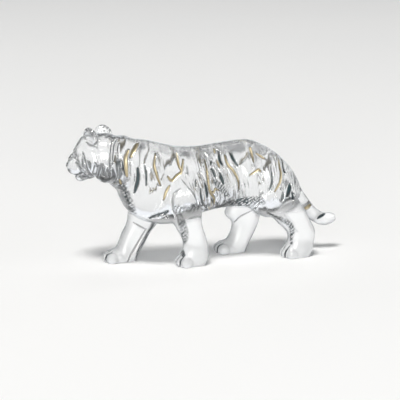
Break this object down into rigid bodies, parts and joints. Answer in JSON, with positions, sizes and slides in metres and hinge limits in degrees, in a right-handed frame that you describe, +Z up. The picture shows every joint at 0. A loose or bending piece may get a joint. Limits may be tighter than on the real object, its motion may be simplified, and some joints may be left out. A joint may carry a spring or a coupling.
{
  "type": "tiger figurine",
  "caption": "Walking tiger figurine cast in solid clear crystal, its head turned aside, with wheel-cut stripes, part of them gilded, standing on its paws.",
  "frame": {"origin": "middle of the bounding box in plan, at the level of the soles", "axes": "+Z up; -X the way the tiger walks, nose end; -Y the tiger's left side"},
  "size_m": [0.1654, 0.0366, 0.0844],
  "materials": {
    "crystal": "fire-polished clear cast crystal, satin on the lower legs",
    "gilding": "thin satin gold in some of the engraved stripes"
  },
  "bodies": {
    "root": {"tiger": "crystal"}
  },
  "joints": []
}
